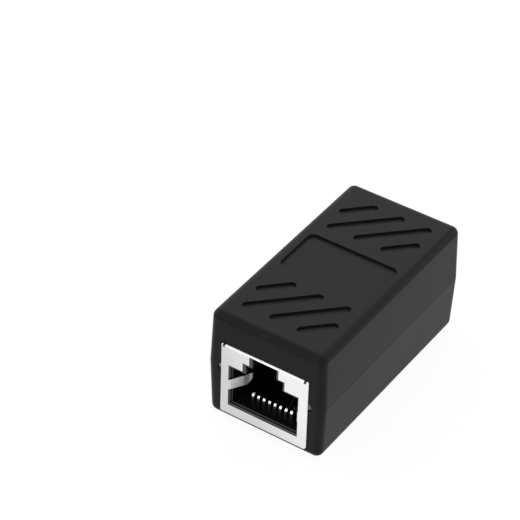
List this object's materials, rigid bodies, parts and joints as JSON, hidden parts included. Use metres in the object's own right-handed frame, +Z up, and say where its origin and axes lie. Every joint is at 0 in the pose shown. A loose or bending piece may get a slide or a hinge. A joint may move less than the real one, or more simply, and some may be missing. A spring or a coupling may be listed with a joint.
{
  "type": "rj45 inline coupler",
  "caption": "Inline coupler for structured cabling: a black moulded two-part housing with a shielded modular socket in each end.",
  "frame": {"origin": "centre of the housing's footprint, on the flat face it rests on", "axes": "+Z up, latch side of both sockets; +Y along the coupler from the front socket to the rear socket; +X across"},
  "size_m": [0.0212, 0.0414, 0.0203],
  "materials": {
    "housing": "fine moulded satin, black",
    "shield_steel": "bright plated sheet",
    "insert_plastic": "moulded, black",
    "carrier_plastic": "moulded, black",
    "contact_metal": "gold-plated spring wire",
    "solder_metal": "reflowed solder",
    "board_laminate": "green solder mask"
  },
  "bodies": {
    "root": {"upper_shell": "housing", "lower_shell": "housing", "circuit_board": "board_laminate", "front_shield": "shield_steel", "front_insert": "insert_plastic", "front_contact_carrier": "carrier_plastic", "front_solder": "solder_metal", "front_contact_1": "contact_metal", "front_contact_2": "contact_metal", "front_contact_3": "contact_metal", "front_contact_4": "contact_metal", "front_contact_5": "contact_metal", "front_contact_6": "contact_metal", "front_contact_7": "contact_metal", "front_contact_8": "contact_metal", "rear_shield": "shield_steel", "rear_insert": "insert_plastic", "rear_contact_carrier": "carrier_plastic", "rear_solder": "solder_metal", "rear_contact_1": "contact_metal", "rear_contact_2": "contact_metal", "rear_contact_3": "contact_metal", "rear_contact_4": "contact_metal", "rear_contact_5": "contact_metal", "rear_contact_6": "contact_metal", "rear_contact_7": "contact_metal", "rear_contact_8": "contact_metal"}
  },
  "joints": []
}
